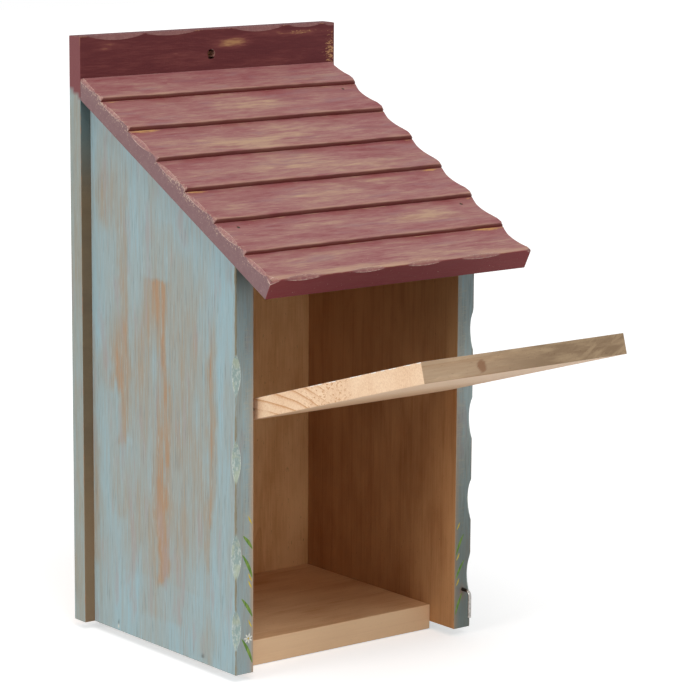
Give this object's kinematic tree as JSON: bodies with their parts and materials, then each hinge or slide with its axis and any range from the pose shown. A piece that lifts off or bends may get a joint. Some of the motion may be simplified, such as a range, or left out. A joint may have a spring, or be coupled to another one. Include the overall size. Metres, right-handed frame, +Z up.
{
  "type": "bird nest box",
  "caption": "Open-fronted wooden bird nest box with a stepped sloping roof, a back board with a hanging hole, and a front door that swings up and is held shut by a turn hook.",
  "frame": {"origin": "middle of the floor board's underside, on the surface that the box stands on", "axes": "+Z up, +Y towards the back board and the wall it hangs on, +X to the right seen from the front"},
  "size_m": [0.1798, 0.29, 0.3423],
  "materials": {
    "wall_paint": "worn blue-grey paint rubbed back to bare wood in streaks",
    "back_paint": "maroon paint at the top, blue-grey at the sides, stained wood inside",
    "roof_paint": "worn maroon paint rubbed back along edges",
    "bare_wood": "bare sanded softwood",
    "door_wood": "bare sanded softwood with a painted outer face",
    "nail_steel": "plain steel wire nail",
    "hook_zinc": "zinc-plated wire"
  },
  "bodies": {
    "box": {"back_board": "back_paint", "floor_board": "bare_wood", "left_front_floor_nail": "nail_steel", "left_hinge_nail": "nail_steel", "left_lower_back_nail": "nail_steel", "left_lower_roof_nail": "nail_steel", "left_middle_back_nail": "nail_steel", "left_rear_floor_nail": "nail_steel", "left_upper_back_nail": "nail_steel", "left_upper_roof_nail": "nail_steel", "left_wall": "wall_paint", "right_front_floor_nail": "nail_steel", "right_hinge_nail": "nail_steel", "right_lower_back_nail": "nail_steel", "right_lower_roof_nail": "nail_steel", "right_middle_back_nail": "nail_steel", "right_rear_floor_nail": "nail_steel", "right_upper_back_nail": "nail_steel", "right_upper_roof_nail": "nail_steel", "right_wall": "wall_paint", "roof_board": "roof_paint"},
    "door": {"front_door": "door_wood"},
    "hook": {"latch_hook": "hook_zinc"}
  },
  "joints": [
    {"name": "door_swing", "type": "hinge", "parent": "box", "child": "door", "pos_m": [0, -0.0755, 0.15], "axis": [1, 0, 0], "range_deg": [-38.4, 110.7]},
    {"name": "hook_turn", "type": "hinge", "parent": "box", "child": "hook", "pos_m": [0.0775, -0.08015, 0.0272], "axis": [0, 1, 0], "continuous": true}
  ]
}
